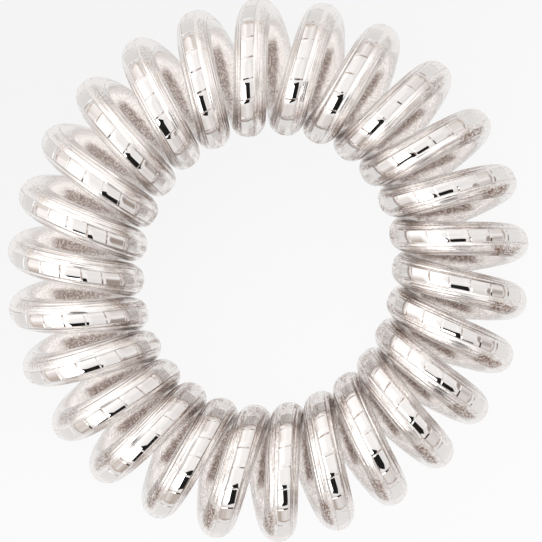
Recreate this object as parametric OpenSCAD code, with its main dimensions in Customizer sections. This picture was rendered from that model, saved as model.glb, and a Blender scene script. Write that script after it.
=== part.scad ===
// Spiral hair tie: one clear springy cord, wound into a coil whose ends meet in a ring.
// The ring lies flat on XY with its centre over the origin, and its long way runs near Y.

/* [Ring] */
// Radius of the ring, from its centre to the middle of the coil
ring_r = 20.8; // [20.8:0.1:30]
// How much further the ring reaches its long way, and how much less its short way
ring_oval = 0.68; // [0.6:0.02:0.76]
// Direction of the long way, in degrees clockwise from +Y
oval_turn = 14; // [10:1:18]

/* [Coil] */
// Outer diameter of the coil
coil_d = 14.5; // [12:0.1:14.5]
// Diameter of the cord
cord_d = 3.55; // [2.4:0.05:3.55]
// How far the upper strands bow clockwise half way out, in degrees
upper_bow = 0.6; // [0:0.1:1.5]

/* [Fineness] */
// Sections of the cord in each turn of the coil
turn_sections = 20; // [12:4:20]
// Flat sides round the cord
cord_sides = 10; // [8:1:12]

/* [Hidden] */

// One row for each turn of the coil, in degrees clockwise from +Y:
// where its inner bend sits, and how much further round its outer bend sits
inner_bend = 0;
lean = 1;
turn_rows = [
    [6.9, 5.6],
    [20.1, 6.2],
    [33.3, 7.5],
    [46.9, 8.1],
    [60.7, 8.5],
    [74.9, 8.6],
    [89.2, 8.0],
    [103.4, 7.0],
    [117.6, 6.3],
    [131.6, 5.5],
    [145.3, 5.6],
    [158.8, 5.6],
    [172.1, 5.8],
    [185.3, 6.5],
    [198.4, 6.9],
    [211.5, 8.2],
    [224.8, 7.8],
    [238.2, 9.0],
    [252.0, 9.0],
    [266.1, 8.7],
    [280.7, 7.3],
    [295.3, 6.3],
    [309.8, 5.6],
    [324.2, 5.3],
    [338.3, 5.5],
    [352.5, 5.4],
];

// Colour of the clear plastic as it looks on a pale surface, with its opacity
clear_plastic = [0.88, 0.85, 0.83, 0.6];

full_turn = 360;
half_turn = 180;
turns = len(turn_rows);
bends = 2 * turns;
sections = turns * turn_sections;
section_step = full_turn / turn_sections;
side_step = full_turn / cord_sides;
coil_r = (coil_d - cord_d) / 2;
cord_r = cord_d / 2;
// Phase either side of a section between which its direction is measured
tangent_reach = 1;

function unit(v) = v / norm(v);

// Where bend i sits round the ring: even bends are inner ones and odd bends outer ones
function bend(i) =
    let (
        lap = floor(i / bends),
        own = i - lap * bends,
        row = turn_rows[floor(own / 2)]
    )
    lap * full_turn + row[inner_bend] + (own % 2) * row[lean];

// Smooth step from a to b as t goes from 0 to 1, leaving at slope ma and arriving at slope mb
function eased(a, b, ma, mb, t) =
    let (
        t2 = t * t,
        t3 = t2 * t
    )
    (2 * t3 - 3 * t2 + 1) * a + (3 * t2 - 2 * t3) * b + (t3 - 2 * t2 + t) * ma + (t3 - t2) * mb;

// Place round the ring at a phase of the coil, where an upper strand follows each inner bend
function heading(phase) =
    let (
        i = floor(phase / half_turn),
        t = phase / half_turn - i,
        leave = (bend(i + 1) - bend(i - 1)) / 2,
        arrive = (bend(i + 2) - bend(i)) / 2,
        bow = i % 2 == 0 ? upper_bow * pow(sin(half_turn * t), 2) : 0
    )
    eased(bend(i), bend(i + 1), leave, arrive, t) + bow;

// Distance from the ring's centre to the middle of the coil
function ring_reach(turn) = ring_r + ring_oval * cos(2 * (turn - oval_turn));

// Direction outwards from the ring's centre, clockwise from +Y
function outward(turn) = [sin(turn), cos(turn), 0];

// Middle of the cord at a phase of the coil
function cord_middle(phase) =
    let (turn = heading(phase))
    (ring_reach(turn) - coil_r * cos(phase)) * outward(turn)
        + [0, 0, coil_d / 2 + coil_r * sin(phase)];

// Points round the cord at a phase of the coil, the first one furthest from the coil's middle
function cord_section(phase) =
    let (
        middle = cord_middle(phase),
        along = unit(cord_middle(phase + tangent_reach) - cord_middle(phase - tangent_reach)),
        spoke = [0, 0, sin(phase)] - cos(phase) * outward(heading(phase)),
        normal = unit(spoke - (spoke * along) * along),
        side = cross(along, normal)
    )
    [for (k = [0:cord_sides - 1])
        middle + cord_r * (cos(k * side_step) * normal + sin(k * side_step) * side)];

// Corner k of section i, counted on past the last one so that the ring closes
function corner(i, k) = (i % sections) * cord_sides + k % cord_sides;

module coil_ring() {
    points = [for (i = [0:sections - 1]) each cord_section(i * section_step)];
    faces = [for (i = [0:sections - 1], k = [0:cord_sides - 1]) each [
        [corner(i, k), corner(i + 1, k), corner(i + 1, k + 1)],
        [corner(i, k), corner(i + 1, k + 1), corner(i, k + 1)],
    ]];
    color(clear_plastic)
        polyhedron(points = points, faces = faces, convexity = 8);
}

coil_ring();
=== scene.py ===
import math
import bpy
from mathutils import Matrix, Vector


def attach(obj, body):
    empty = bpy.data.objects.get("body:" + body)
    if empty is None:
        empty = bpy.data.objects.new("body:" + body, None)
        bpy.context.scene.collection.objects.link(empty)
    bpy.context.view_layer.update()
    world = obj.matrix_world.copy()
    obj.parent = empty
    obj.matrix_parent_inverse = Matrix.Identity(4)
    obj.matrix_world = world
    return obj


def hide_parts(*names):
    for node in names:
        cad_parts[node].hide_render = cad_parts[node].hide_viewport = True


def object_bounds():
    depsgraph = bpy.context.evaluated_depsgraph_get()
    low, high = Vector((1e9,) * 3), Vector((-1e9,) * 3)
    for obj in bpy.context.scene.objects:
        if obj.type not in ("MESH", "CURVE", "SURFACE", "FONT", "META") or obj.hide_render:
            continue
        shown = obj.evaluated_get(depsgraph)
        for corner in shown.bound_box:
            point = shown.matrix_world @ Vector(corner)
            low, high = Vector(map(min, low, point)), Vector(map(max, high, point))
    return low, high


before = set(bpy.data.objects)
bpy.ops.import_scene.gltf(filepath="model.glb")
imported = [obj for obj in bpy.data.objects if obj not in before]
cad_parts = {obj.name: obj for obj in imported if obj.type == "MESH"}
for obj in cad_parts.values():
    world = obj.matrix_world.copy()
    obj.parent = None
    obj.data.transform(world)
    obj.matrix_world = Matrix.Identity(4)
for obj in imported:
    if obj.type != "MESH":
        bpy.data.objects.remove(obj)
cad_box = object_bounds()
scene = bpy.context.scene

# Camera: almost straight above the ring with a long lens, as in the photo. It leans a little
# towards the photo's right and top, which the places of the upper strands show.
MM = 0.001
PICTURE_PX = 542
PHOTO_MM_PER_PX = 0.105
RING_CENTRE_PX = (267.8, 270.3)
CAMERA_ABOVE = 600 * MM
CAMERA_LEAN = (0.035, 0.05)
CAMERA_SEES_FROM = 10 * MM
SENSOR = 36.0
half_px = PICTURE_PX / 2
aim = Vector((
    (half_px - RING_CENTRE_PX[0]) * PHOTO_MM_PER_PX * MM,
    (RING_CENTRE_PX[1] - half_px) * PHOTO_MM_PER_PX * MM,
    (cad_box[0].z + cad_box[1].z) / 2,
))
view = Vector((*CAMERA_LEAN, 1)).normalized()
camera_data = bpy.data.cameras.new("overhead_camera")
camera_data.sensor_width = SENSOR
camera_data.lens = SENSOR * CAMERA_ABOVE / (PICTURE_PX * PHOTO_MM_PER_PX * MM)
camera_data.clip_start = CAMERA_SEES_FROM
camera = bpy.data.objects.new("overhead_camera", camera_data)
camera.location = aim + CAMERA_ABOVE * view
camera.rotation_euler = Vector((0, 0, 1)).rotation_difference(view).to_euler()
scene.collection.objects.link(camera)
scene.camera = camera
# White paper stays white in the plain view transform
scene.view_settings.view_transform = "Standard"

# Floor: a sheet of matt white paper, lit so evenly that it shows next to no shadow. Its own glow
# stands for that light and grows a little towards the photo's lower right. Its dark colour leaves
# only a little real shade under the ring.
FLOOR_SIZE = 3.0
PAPER_COLOUR = "3a3a3a"
PAPER_ROUGHNESS = 0.9
PAPER_LIGHT = "ffffff"
GLOW_TOWARDS = (0.5, -0.85, 0.0)
GLOW_FROM = -35 * MM
GLOW_TO = 20 * MM
GLOW_LEAST = 0.86
GLOW_MOST = 0.93


def linear(hex_colour):
    """An sRGB hex colour as linear red, green, blue and a full alpha."""
    channels = [int(hex_colour[i : i + 2], 16) / 255 for i in (0, 2, 4)]
    return [c / 12.92 if c <= 0.04045 else ((c + 0.055) / 1.055) ** 2.4 for c in channels] + [1.0]


def add_node(tree, kind, settings=(), links=()):
    """A node of that kind, with its own settings or socket values, and its sockets' links."""
    node = tree.nodes.new(kind)
    for name, value in dict(settings).items():
        if hasattr(node, str(name)):
            setattr(node, name, value)
        else:
            node.inputs[name].default_value = value
    for name, source in dict(links).items():
        tree.links.new(source, node.inputs[name])
    return node


def empty_material(name):
    """A material whose node tree is still empty, and that tree."""
    material = bpy.data.materials.new(name)
    material.use_nodes = True
    material.node_tree.nodes.clear()
    return material, material.node_tree


floor_material, tree = empty_material("white_paper_matt")
spot = add_node(tree, "ShaderNodeTexCoord")
towards = add_node(tree, "ShaderNodeVectorMath", {"operation": "DOT_PRODUCT", 1: GLOW_TOWARDS},
                   {0: spot.outputs["Object"]})
even = add_node(tree, "ShaderNodeMapRange", {
    "From Min": GLOW_FROM, "From Max": GLOW_TO, "To Min": GLOW_LEAST, "To Max": GLOW_MOST},
    {"Value": towards.outputs["Value"]})
paper = add_node(tree, "ShaderNodeBsdfPrincipled", {
    "Base Color": linear(PAPER_COLOUR), "Roughness": PAPER_ROUGHNESS, "Specular IOR Level": 0.0,
    "Emission Color": linear(PAPER_LIGHT)}, {"Emission Strength": even.outputs["Result"]})
add_node(tree, "ShaderNodeOutputMaterial", links={"Surface": paper.outputs["BSDF"]})
bpy.ops.mesh.primitive_plane_add(size=FLOOR_SIZE)
floor = bpy.context.object
floor.name = "floor"
floor.data.materials.append(floor_material)

# Tent: white cloth all round the table, warm grey where it meets the table and paler above. Its
# folds and its brighter left side give the long soft bands of light along the cord.
TENT_TONES = [
    (-1.0, "f3f1f0"), (-0.02, "c2b4ab"), (0.1, "cdc2ba"), (0.22, "e8e3e0"), (0.4, "f8f6f5"), (1.0, "fdfcfc"),
]
FOLDS_ACROSS_SKY = 2.6
FOLD_SWAY = 0.6
FOLD_DARK = 0.85
DIM_TOWARDS = (0.75, -0.65, 0.0)
DIM_REACH = 0.9
BRIGHT_SIDE = 1.5
DIM_SIDE = 1.1


def set_stops(ramp, stops):
    """Gives a colour ramp its stops, each with its place from 0 to 1 and its linear colour."""
    elements = ramp.color_ramp.elements
    for i, (at, colour) in enumerate(stops):
        stop = elements[i] if i < 2 else elements.new(at)
        stop.position = at
        stop.color = colour


world = bpy.data.worlds.new("light_tent")
scene.world = world
world.use_nodes = True
tree = world.node_tree
tree.nodes.clear()
direction = add_node(tree, "ShaderNodeTexCoord")
height = add_node(tree, "ShaderNodeSeparateXYZ", links={"Vector": direction.outputs["Generated"]})
cloudy = add_node(tree, "ShaderNodeTexNoise", {"Scale": FOLDS_ACROSS_SKY, "Detail": 2.0},
                  {"Vector": direction.outputs["Generated"]})
sway = add_node(tree, "ShaderNodeMath", {"operation": "MULTIPLY_ADD", 1: FOLD_SWAY, 2: -FOLD_SWAY / 2},
                {0: cloudy.outputs["Fac"]})
swayed = add_node(tree, "ShaderNodeMath", {"operation": "ADD"},
                  {0: height.outputs["Z"], 1: sway.outputs["Value"]})
fraction = add_node(tree, "ShaderNodeMapRange", {"From Min": -1.0, "From Max": 1.0},
                    {"Value": swayed.outputs["Value"]})
tent = add_node(tree, "ShaderNodeValToRGB", links={"Fac": fraction.outputs["Result"]})
set_stops(tent, [((z + 1) / 2, linear(colour)) for z, colour in TENT_TONES])
folds = add_node(tree, "ShaderNodeMapRange", {
    "From Min": 0.35, "From Max": 0.65, "To Min": FOLD_DARK, "To Max": 1.0}, {"Value": cloudy.outputs["Fac"]})
across = add_node(tree, "ShaderNodeVectorMath", {"operation": "DOT_PRODUCT", 1: DIM_TOWARDS},
                  {0: direction.outputs["Generated"]})
slope = add_node(tree, "ShaderNodeMapRange", {
    "From Min": -DIM_REACH, "From Max": DIM_REACH, "To Min": BRIGHT_SIDE, "To Max": DIM_SIDE},
    {"Value": across.outputs["Value"]})
strength = add_node(tree, "ShaderNodeMath", {"operation": "MULTIPLY"},
                    {0: folds.outputs["Result"], 1: slope.outputs["Result"]})
glow = add_node(tree, "ShaderNodeBackground", links={
    "Color": tent.outputs["Color"], "Strength": strength.outputs["Value"]})
add_node(tree, "ShaderNodeOutputWorld", links={"Surface": glow.outputs["Background"]})


# Cards: a black, a brown and a white paper card and a soft window in front of the tent. They are
# hung so that the panes of the cord mirror them as the photo's dashes, brown panes and highlights,
# and only reflections show them.
def card(name, towards, across, down, colour, strength, distance, soft_edge=0.0):
    """A card that many metres away, so many degrees across and down, whose edge can fade out."""
    rim = 0.5
    facing = Vector(towards).normalized()
    bpy.ops.mesh.primitive_plane_add(size=1)
    plane = bpy.context.object
    plane.name = name
    plane.scale = (2 * distance * math.tan(math.radians(across / 2)),
                   2 * distance * math.tan(math.radians(down / 2)), 1)
    plane.location = facing * distance
    plane.rotation_euler = (-facing).to_track_quat("Z", "Y").to_euler()
    material, tree = empty_material(name)
    light = add_node(tree, "ShaderNodeEmission", {"Strength": strength, "Color": linear(colour)})
    surface = light.outputs["Emission"]
    if soft_edge:
        place = add_node(tree, "ShaderNodeTexCoord")
        reach = add_node(tree, "ShaderNodeVectorMath", {"operation": "LENGTH"},
                         {0: place.outputs["Object"]})
        fade = add_node(tree, "ShaderNodeMapRange", {
            "From Min": rim - soft_edge, "From Max": rim, "interpolation_type": "SMOOTHSTEP"},
            {"Value": reach.outputs["Value"]})
        clear = add_node(tree, "ShaderNodeBsdfTransparent")
        mixed = add_node(tree, "ShaderNodeMixShader", links={
            0: fade.outputs["Result"], 1: surface, 2: clear.outputs["BSDF"]})
        surface = mixed.outputs["Shader"]
    add_node(tree, "ShaderNodeOutputMaterial", links={"Surface": surface})
    plane.data.materials.append(material)
    plane.visible_camera = False
    plane.visible_diffuse = False
    plane.visible_shadow = False


card("black_card", (0.03, -0.62, 0.78), across=34, down=38, colour="000000", strength=1.0, distance=3.0)
card("brown_card", (0.8, -0.25, 0.42), across=44, down=34, colour="ada097", strength=1.0, distance=3.0,
     soft_edge=0.3)
card("white_card", (-0.5, -0.5, 0.74), across=42, down=30, colour="ffffff", strength=3.0, distance=2.8)
card("soft_window", (-0.62, 0.25, 0.7), across=85, down=70, colour="fffefd", strength=1.5, distance=0.1,
     soft_edge=0.35)

# Coil ring: one springy cord of clear polyurethane (TPU), extruded round, wound into a coil of 26
# turns and joined end to end, so that the coil closes into a ring. Along its outside runs a narrow
# band of short straight lengths with ticks between them, which catch the light one by one as panes.

# Sizes are those of the solid, in millimetres, and angles are in degrees clockwise from +Y
RING_R = 20.8
RING_OVAL = 0.68
OVAL_TURN = 14.0
COIL_D = 14.5
CORD_D = 3.55
UPPER_BOW = 0.6
TANGENT_REACH = 1
# One row for each turn: where its inner bend sits, and how much further round its outer bend sits
TURN_ROWS = [
    (6.9, 5.6), (20.1, 6.2), (33.3, 7.5), (46.9, 8.1), (60.7, 8.5), (74.9, 8.6), (89.2, 8.0),
    (103.4, 7.0), (117.6, 6.3), (131.6, 5.5), (145.3, 5.6), (158.8, 5.6), (172.1, 5.8),
    (185.3, 6.5), (198.4, 6.9), (211.5, 8.2), (224.8, 7.8), (238.2, 9.0), (252.0, 9.0),
    (266.1, 8.7), (280.7, 7.3), (295.3, 6.3), (309.8, 5.6), (324.2, 5.3), (338.3, 5.5), (352.5, 5.4),
]
COIL_R = (COIL_D - CORD_D) / 2
BENDS = 2 * len(TURN_ROWS)

# The band's straight lengths, in degrees along the coil and round the cord, where 0 is outside.
# Each length has rows of points at these shares of it. Its tick is sunk at the first row, and the
# first two rows are creased.
LENGTHS_PER_TURN = 20
PANE_START = 9.0
ROWS = (0.0, 0.06, 0.35, 0.65, 0.94)
CREASED_ROWS = 2
BAND_MIDDLE = -10.0
BAND_HALF = 20.0
BAND_EDGE = 2.0
BAND_FACES = 6
BACK_FACES = 29
PANE_TILTS = (12.0, 10.5, 13.0, 11.5, 14.0, 12.5, 10.0)
TICK_DEEP = 0.06
TICK_SLANT = 0.07
# The band fades out towards the bends: where it starts to, and where it is gone, on a scale from 0
# half way between two bends to 1 at a bend. Its edges are creased while this much of it is left.
FADE_FROM = 0.65
FADE_TO = 0.95
CREASED_FROM = 0.3
LENGTH_PHASE = 360 / LENGTHS_PER_TURN
lengths = len(TURN_ROWS) * LENGTHS_PER_TURN
sections = lengths * len(ROWS)


def bend(i):
    """Where bend i sits round the ring in degrees: even bends are inner ones and odd bends outer."""
    lap, own = divmod(i, BENDS)
    inner, lean = TURN_ROWS[own // 2]
    return 360 * lap + inner + (own % 2) * lean


def heading(phase):
    """Place round the ring at a phase of the coil, in degrees."""
    i = math.floor(phase / 180)
    t = phase / 180 - i
    leave = (bend(i + 1) - bend(i - 1)) / 2
    arrive = (bend(i + 2) - bend(i)) / 2
    bow = UPPER_BOW * math.sin(math.pi * t) ** 2 if i % 2 == 0 else 0
    return ((2 * t**3 - 3 * t**2 + 1) * bend(i) + (3 * t**2 - 2 * t**3) * bend(i + 1)
            + (t**3 - 2 * t**2 + t) * leave + (t**3 - t**2) * arrive + bow)


def outward(turn):
    """Direction away from the ring's centre at that place round the ring."""
    return Vector((math.sin(math.radians(turn)), math.cos(math.radians(turn)), 0))


def cord_middle(phase):
    """Middle of the cord at a phase of the coil."""
    turn = heading(phase)
    ring = RING_R + RING_OVAL * math.cos(math.radians(2 * (turn - OVAL_TURN)))
    angle = math.radians(phase)
    return ((ring - COIL_R * math.cos(angle)) * outward(turn)
            + Vector((0, 0, COIL_D / 2 + COIL_R * math.sin(angle))))


def point_at(phase, around, radius):
    """A point on the cord at a phase of the coil, turned that far from the coil's outside."""
    middle = cord_middle(phase)
    along = (cord_middle(phase + TANGENT_REACH) - cord_middle(phase - TANGENT_REACH)).normalized()
    angle = math.radians(phase)
    spoke = Vector((0, 0, math.sin(angle))) - math.cos(angle) * outward(heading(phase))
    normal = (spoke - spoke.dot(along) * along).normalized()
    side = along.cross(normal)
    a = math.radians(around)
    return middle + radius * (math.cos(a) * normal + math.sin(a) * side)


def phase_of(length):
    """Phase of the coil where that straight length starts, or that far along one."""
    return length * LENGTH_PHASE + PANE_START


def smooth_step(value, start, stop):
    """Goes smoothly from 0 at start to 1 at stop."""
    t = min(max((value - start) / (stop - start), 0), 1)
    return t * t * (3 - 2 * t)


def band_share(phase):
    """How far the band stands out at a phase of the coil: all of it on a strand, none at a bend."""
    return 1 - smooth_step(math.cos(math.radians(phase)) ** 2, FADE_FROM, FADE_TO)


def band_point(length, around, tick, pane_tilt):
    """A point where two straight lengths meet, on the tilted band or in the tick between them."""
    off = around - BAND_MIDDLE
    phase = phase_of(length)
    share = band_share(phase)
    tilt = math.tan(math.radians(pane_tilt)) * math.radians(off) * share
    radius = CORD_D / 2 * (1 - tilt) - tick * TICK_DEEP * share
    return point_at(phase + TICK_SLANT * off, around, radius)


# Angles round the cord, first those of the band and then those of the round back
band_from = BAND_MIDDLE - BAND_HALF
band_step = 2 * BAND_HALF / BAND_FACES
back_from = BAND_MIDDLE + BAND_HALF + BAND_EDGE
back_step = (360 - 2 * BAND_HALF - 2 * BAND_EDGE) / BACK_FACES
BAND_ROUND = [band_from + i * band_step for i in range(BAND_FACES + 1)]
ROUND = BAND_ROUND + [back_from + i * back_step for i in range(BACK_FACES + 1)]
IN_BAND = [k <= BAND_FACES for k in range(len(ROUND))]
SIDES = len(ROUND)
cord_walk = [0.0]
for i in range(lengths):
    step = cord_middle(phase_of(i + 1)) - cord_middle(phase_of(i))
    cord_walk.append(cord_walk[-1] + step.length)

# Painted shade, noted on the mesh point by point: brown that stands for the shade which the clear
# cord gathers. Leaf-shaped crescents of painted shadow lie on the lower strands beside the upper
# ones, and brown eyes of painted shade near the tips of the upper strands. A leaf has an edge round
# the cord that slants from the inner bend outwards, an end that it tapers to, and a tone. Its values
# with BROWN are added in full on the ring's lower right, far from the light, and taken off on the
# upper left.
PAINTED_SHADE_SIDE = Vector((0.75, -0.65, 0)).normalized()
UPPER_FROM = -0.45
LEAF_EDGE = 0.17
LEAF_EDGE_BROWN = 0.24
LEAF_SLANT = 0.71
LEAF_SLANT_BROWN = 0.05
LEAF_SOFT = 0.09
LEAF_END = 0.43
LEAF_END_BROWN = -0.2
LEAF_TAPER = 0.27
LEAF_TONE = 0.8
LEAF_TONE_BROWN = 0.06
EYE_STARTS = (0.45, 0.6)
EYE_STOPS = (0.86, 0.96)
EYE_FLANK = (0.3, 0.5)
PAINTED = ("inner_side", "band", "tick", "bent", "brown", "outer", "crescent", "tip_eye")
painted = {name: [] for name in PAINTED}
verts, faces, uvs = [], [], []
for length in range(lengths):
    tilt = PANE_TILTS[length % len(PANE_TILTS)]
    starts = [band_point(length, around, 0, tilt) for around in BAND_ROUND]
    stops = [band_point((length + 1) % lengths, around, 0, tilt) for around in BAND_ROUND]
    walked = cord_walk[length + 1] - cord_walk[length]
    for row, t in enumerate(ROWS):
        phase = phase_of(length + t)
        out = -math.cos(math.radians(phase))
        upper = smooth_step(math.sin(math.radians(phase)), UPPER_FROM, 0.0)
        # How far this place lies towards the ring's lower right, away from the light, where the painted shade
        # is deepest
        brown = outward(heading(phase)).dot(PAINTED_SHADE_SIDE)
        leaf_edge = LEAF_EDGE + LEAF_EDGE_BROWN * brown + (LEAF_SLANT + LEAF_SLANT_BROWN * brown) * out
        leaf_end = LEAF_END + LEAF_END_BROWN * brown
        leaf_tone = ((LEAF_TONE + LEAF_TONE_BROWN * brown) * (1 - upper)
                     * (1 - smooth_step(out, leaf_end, leaf_end + LEAF_TAPER)))
        eye_tone = upper * smooth_step(out, *EYE_STARTS) * (1 - smooth_step(out, *EYE_STOPS))
        later = ROWS[row + 1] if row + 1 < len(ROWS) else 1.0
        walk_from, walk_to = [cord_walk[length] + share * walked for share in (t, later)]
        m = (length * len(ROWS) + row) * SIDES
        n = (m + SIDES) % (sections * SIDES)
        for k, around in enumerate(ROUND):
            if not IN_BAND[k]:
                place = point_at(phase, around, CORD_D / 2)
            elif row == 0:
                place = band_point(length, around, 1, PANE_TILTS[0])
            else:
                place = (1 - t) * starts[k] + t * stops[k]
            verts.append(place * MM)
            flank = math.sin(math.radians(around))
            painted["inner_side"].append(-math.cos(math.radians(around)))
            painted["band"].append(band_share(phase) if IN_BAND[k] else 0.0)
            painted["tick"].append(band_share(phase) if IN_BAND[k] and row == 0 else 0.0)
            painted["bent"].append(out**2)
            painted["brown"].append(brown)
            painted["outer"].append(out)
            # Painted shadow of the crescents and painted shade of the tip eyes
            painted["crescent"].append(
                leaf_tone * (1 - smooth_step(flank, leaf_edge - LEAF_SOFT, leaf_edge + LEAF_SOFT)))
            painted["tip_eye"].append(eye_tone * smooth_step(flank, *EYE_FLANK))
            faces.append((m + k, m + (k + 1) % SIDES, n + (k + 1) % SIDES, n + k))
            past = ROUND[k + 1] if k + 1 < SIDES else ROUND[0] + 360
            arc_from, arc_to = [math.radians(angle) * CORD_D / 2 for angle in (around, past)]
            uvs.extend([walk_from, arc_from, walk_from, arc_to, walk_to, arc_to, walk_to, arc_from])
mesh = bpy.data.meshes.new("spiral_cord")
mesh.from_pydata(verts, [], faces)
mesh.shade_smooth()
sharp = mesh.attributes.new("sharp_edge", "BOOLEAN", "EDGE")
creased = []
for edge in mesh.edges:
    rows = [v // SIDES for v in edge.vertices]
    columns = [v % SIDES for v in edge.vertices]
    on_strand = band_share(phase_of(rows[0] // len(ROWS))) > CREASED_FROM
    beside_tick = rows[0] == rows[1] and rows[0] % len(ROWS) < CREASED_ROWS
    at_tick = beside_tick and all(IN_BAND[k] for k in columns)
    at_rim = columns[0] == columns[1] and columns[0] in (0, BAND_FACES)
    creased.append(on_strand and (at_tick or at_rim))
sharp.data.foreach_set("value", creased)
for name, values in painted.items():
    attribute = mesh.attributes.new(name, "FLOAT", "POINT")
    attribute.data.foreach_set("value", values)
# Where a point lies on the cord, in millimetres along it and round it
cord_uv = mesh.uv_layers.new(name="cord_mm")
cord_uv.data.foreach_set("uv", uvs)
cord = bpy.data.objects.new("spiral_cord", mesh)
scene.collection.objects.link(cord)

# Clear TPU, extruded: glossy outside with fine lines along it, and grainy on the side that lay on
# the winding rod. It starts from an IOR of 1.5, no metal and a roughness of 0.05. The photo's cord
# looks silvery, so most of its light is mirrored, its colour is warmed by painted brown shade, and little
# goes through.
TPU_IOR = 1.5
CLEAR_SHARE = 0.15
CLEAR_TONE = "fbf8f6"
PANE_TONE = "e3e0de"
# Brown of the painted shade
PAINTED_SHADE_TONE = "846757"
STRAND_ROUGHNESS = 0.17
ROD_SIDE_ROUGHNESS = 0.06
PANE_ROUGHNESS = 0.02
STRAND_SILVER = 0.95
BEND_SILVER = 0.88
ROD_SIDE_SILVER = 0.97
PANE_SILVER = 0.98
# Painted light: a faint glow on the coil's inside stands for the light that the white paper sends up through
# the cord
PAPER_GLOW = "fffcfa"
NO_GLOW = "000000"
GLOW_STRENGTH = 0.17
# Where round the cord the rod's side starts and where it is at its full, from 0 to 1 at the inside
ROD_SIDE_FROM = 0.2
ROD_SIDE_FULL = 0.8
# Lines from the extruder's die, and the rod's grain, in millimetres. Real ones are a tenth of a
# millimetre or less and too fine to show, so both are drawn as coarse and deep as they need to be.
DIE_LINE_WIDE = 0.35
DIE_LINE_LONG = 16.0
DIE_LINE_DEEP = 0.4
DIE_LINE_STRENGTH = 0.8
GRAIN_MM = 0.2
GRAIN_DEEP = 1.5
# Patches of shade that the cord bends into view, in millimetres along it and round it
PATCH_LONG = 4.0
PATCH_WIDE = 1.0
# Painted shade towards the strands' edges, as two brown lines that the patches break up
EDGE_FACING = 0.45
EDGE_PATCHES = 1.8
EDGE_SHADE_TONES = [(0.58, 0.0), (0.7, 0.5), (0.76, 0.12), (0.92, 0.42), (1.0, 0.2)]

tpu, tree = empty_material("clear_tpu_extruded")
on_mesh = {name: add_node(tree, "ShaderNodeAttribute", {"attribute_name": name}).outputs["Fac"]
           for name in PAINTED}
place = add_node(tree, "ShaderNodeUVMap", {"uv_map": "cord_mm"})
solid = add_node(tree, "ShaderNodeTexCoord")
rod_side = add_node(tree, "ShaderNodeMapRange", {"From Min": ROD_SIDE_FROM, "From Max": ROD_SIDE_FULL},
                    {"Value": on_mesh["inner_side"]})

# Surface: roughness, die lines and grain
rough = add_node(tree, "ShaderNodeMapRange", {"To Min": STRAND_ROUGHNESS, "To Max": ROD_SIDE_ROUGHNESS},
                 {"Value": rod_side.outputs["Result"]})
gloss = add_node(tree, "ShaderNodeMapRange", {"To Max": PANE_ROUGHNESS},
                 {"Value": on_mesh["band"], "To Min": rough.outputs["Result"]})
die_map = add_node(tree, "ShaderNodeMapping", {"Scale": (1 / DIE_LINE_LONG, 1 / DIE_LINE_WIDE, 1.0)},
                   {"Vector": place.outputs["UV"]})
die_lines = add_node(tree, "ShaderNodeTexNoise", {"Scale": 1.0, "Detail": 2.0},
                     {"Vector": die_map.outputs["Vector"]})
off_band = add_node(tree, "ShaderNodeMapRange", {"To Min": DIE_LINE_STRENGTH, "To Max": 0.0},
                    {"Value": on_mesh["band"]})
die_bump = add_node(tree, "ShaderNodeBump", {"Distance": DIE_LINE_DEEP * MM}, {
    "Height": die_lines.outputs["Fac"], "Strength": off_band.outputs["Result"]})
grain = add_node(tree, "ShaderNodeTexNoise", {"Scale": 1 / (GRAIN_MM * MM), "Detail": 2.0},
                 {"Vector": solid.outputs["Object"]})
grain_bump = add_node(tree, "ShaderNodeBump", {"Distance": GRAIN_DEEP * MM}, {
    "Height": grain.outputs["Fac"], "Strength": rod_side.outputs["Result"],
    "Normal": die_bump.outputs["Normal"]})

# Silveriness: a little less at the bends, and the most on the panes
at_bends = add_node(tree, "ShaderNodeMapRange", {
    "From Min": 0.4, "From Max": 0.8, "To Min": STRAND_SILVER, "To Max": BEND_SILVER,
    "interpolation_type": "SMOOTHSTEP"}, {"Value": on_mesh["bent"]})
at_rod_side = add_node(tree, "ShaderNodeMapRange", {"To Max": ROD_SIDE_SILVER},
                       {"Value": rod_side.outputs["Result"], "To Min": at_bends.outputs["Result"]})
silver = add_node(tree, "ShaderNodeMapRange", {"To Max": PANE_SILVER},
                  {"Value": on_mesh["band"], "To Min": at_rod_side.outputs["Result"]})

# Painted shade: brown along the strands' edges and in the eyes, more on the lower right turns, away from the
# light
patch_map = add_node(tree, "ShaderNodeMapping", {"Scale": (1 / PATCH_LONG, 1 / PATCH_WIDE, 1.0)},
                     {"Vector": place.outputs["UV"]})
patches = add_node(tree, "ShaderNodeTexNoise", {"Scale": 1.0, "Detail": 4.0, "Roughness": 0.65},
                   {"Vector": patch_map.outputs["Vector"]})
facing = add_node(tree, "ShaderNodeLayerWeight", {"Blend": 0.5})
lowered = add_node(tree, "ShaderNodeMath", {"operation": "SUBTRACT", 1: EDGE_FACING},
                   {0: facing.outputs["Facing"]})
uneven = add_node(tree, "ShaderNodeMath", {"operation": "MULTIPLY_ADD", 1: EDGE_PATCHES},
                  {0: patches.outputs["Fac"], 2: lowered.outputs["Value"]})
edge = add_node(tree, "ShaderNodeValToRGB", links={"Fac": uneven.outputs["Value"]})
set_stops(edge, [(at, (tone, tone, tone, 1)) for at, tone in EDGE_SHADE_TONES])
eye_spots = add_node(tree, "ShaderNodeMapRange", {
    "From Min": 0.3, "From Max": 0.5, "To Min": 0.3, "To Max": 1.0}, {"Value": patches.outputs["Fac"]})
eye = add_node(tree, "ShaderNodeMath", {"operation": "MULTIPLY"},
               {0: on_mesh["tip_eye"], 1: eye_spots.outputs["Result"]})
edge_or_eye = add_node(tree, "ShaderNodeMath", {"operation": "MAXIMUM"},
                       {0: eye.outputs["Value"], 1: edge.outputs["Color"]})
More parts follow.
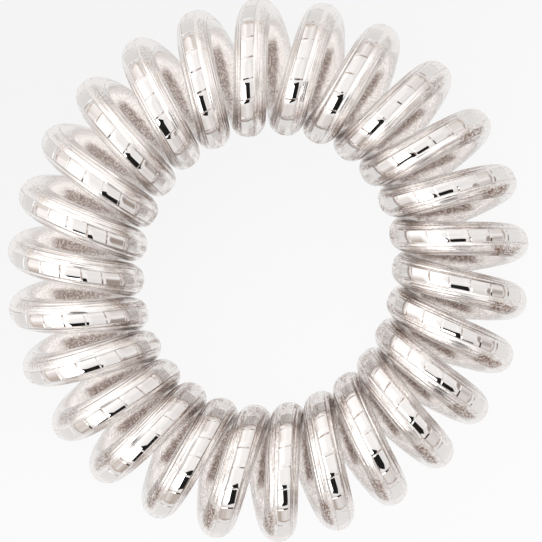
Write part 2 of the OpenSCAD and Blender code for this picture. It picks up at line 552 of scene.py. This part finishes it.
shade_away_from_light = add_node(tree, "ShaderNodeMapRange", {
    "From Min": -0.6, "From Max": 0.6, "To Min": 0.35, "To Max": 1.0, "interpolation_type": "SMOOTHSTEP"},
    {"Value": on_mesh["brown"]})
side_shade = add_node(tree, "ShaderNodeMath", {"operation": "MULTIPLY"},
                      {0: edge_or_eye.outputs["Value"], 1: shade_away_from_light.outputs["Result"]})

# Painted shade: brown patches at the inner bends, where the strands crowd together and shade each other
inwards = add_node(tree, "ShaderNodeMapRange", {
    "From Min": -0.9, "From Max": -0.2, "To Min": 0.85, "To Max": 0.0, "interpolation_type": "SMOOTHSTEP"},
    {"Value": on_mesh["outer"]})
bend_patches = add_node(tree, "ShaderNodeMapRange", {"From Min": 0.4, "From Max": 0.6},
                        {"Value": patches.outputs["Fac"]})
bend_shade = add_node(tree, "ShaderNodeMath", {"operation": "MULTIPLY"},
                      {0: inwards.outputs["Result"], 1: bend_patches.outputs["Result"]})
outside_shade = add_node(tree, "ShaderNodeMath", {"operation": "MAXIMUM"},
                         {0: bend_shade.outputs["Value"], 1: side_shade.outputs["Value"]})
outside_grain = add_node(tree, "ShaderNodeMapRange", {
    "From Min": 0.4, "From Max": 0.58, "To Min": 0.4, "To Max": 1.15}, {"Value": grain.outputs["Fac"]})
grainy_shade = add_node(tree, "ShaderNodeMath", {"operation": "MULTIPLY"},
                        {0: outside_shade.outputs["Value"], 1: outside_grain.outputs["Result"]})

# Painted shadow: speckled crescents on the coil's inside, where the upper strands shade the lower ones
leaf = add_node(tree, "ShaderNodeMath", {"operation": "MULTIPLY"},
                {0: on_mesh["crescent"], 1: rod_side.outputs["Result"]})
speckle = add_node(tree, "ShaderNodeMapRange", {
    "From Min": 0.42, "From Max": 0.56, "To Min": 0.4, "To Max": 1.0}, {"Value": grain.outputs["Fac"]})
leaf_shadow = add_node(tree, "ShaderNodeMath", {"operation": "MULTIPLY"},
                      {0: leaf.outputs["Value"], 1: speckle.outputs["Result"]})

# The panes are kept free of the painted shade, and some of the ticks between them get painted shade
strand_shade = add_node(tree, "ShaderNodeMath", {"operation": "MAXIMUM"},
                        {0: leaf_shadow.outputs["Value"], 1: grainy_shade.outputs["Value"]})
off_pane = add_node(tree, "ShaderNodeMapRange", {"To Min": 1.0, "To Max": 0.0}, {"Value": on_mesh["band"]})
kept_shade = add_node(tree, "ShaderNodeMath", {"operation": "MULTIPLY"},
                      {0: strand_shade.outputs["Value"], 1: off_pane.outputs["Result"]})
tick_shade_spots = add_node(tree, "ShaderNodeMapRange", {
    "From Min": 0.48, "From Max": 0.58, "To Min": 0.05, "To Max": 0.9}, {"Value": patches.outputs["Fac"]})
tick_shade = add_node(tree, "ShaderNodeMath", {"operation": "MULTIPLY"},
                      {0: on_mesh["tick"], 1: tick_shade_spots.outputs["Result"]})
shade = add_node(tree, "ShaderNodeMath", {"operation": "MAXIMUM"},
                 {0: kept_shade.outputs["Value"], 1: tick_shade.outputs["Value"]})
clear_tone = add_node(tree, "ShaderNodeMix", {
    "data_type": "RGBA", 6: linear(CLEAR_TONE), 7: linear(PANE_TONE)}, {0: on_mesh["band"]})
colour = add_node(tree, "ShaderNodeMix", {"data_type": "RGBA", 7: linear(PAINTED_SHADE_TONE)},
                  {0: shade.outputs["Value"], 6: clear_tone.outputs[2]})

# Painted light: a glow on the coil's inside, outside the crescents
off_leaf = add_node(tree, "ShaderNodeMath", {"operation": "SUBTRACT", 0: 1.0}, {1: on_mesh["crescent"]})
painted_glow_side = add_node(tree, "ShaderNodeMath", {"operation": "MULTIPLY"},
                    {0: off_leaf.outputs["Value"], 1: rod_side.outputs["Result"]})
painted_glow = add_node(tree, "ShaderNodeMix", {"data_type": "RGBA", 6: linear(NO_GLOW), 7: linear(PAPER_GLOW)},
               {0: painted_glow_side.outputs["Value"]})
plastic = add_node(tree, "ShaderNodeBsdfPrincipled", {
    "IOR": TPU_IOR, "Transmission Weight": CLEAR_SHARE, "Emission Strength": GLOW_STRENGTH}, {
    "Base Color": colour.outputs[2], "Emission Color": painted_glow.outputs[2], "Metallic": silver.outputs["Result"],
    "Roughness": gloss.outputs["Result"], "Normal": grain_bump.outputs["Normal"]})
add_node(tree, "ShaderNodeOutputMaterial", links={"Surface": plastic.outputs["BSDF"]})
mesh.materials.append(tpu)
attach(cord, "root")
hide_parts("coil_ring")

# Light paths: enough bounces for clear strands that are seen through and mirrored in each other
scene.cycles.max_bounces = 12
scene.cycles.transmission_bounces = 12
scene.cycles.glossy_bounces = 8
scene.cycles.diffuse_bounces = 2
scene.cycles.transparent_max_bounces = 8
scene.cycles.caustics_reflective = True
scene.cycles.caustics_refractive = True
scene.cycles.use_denoising = True
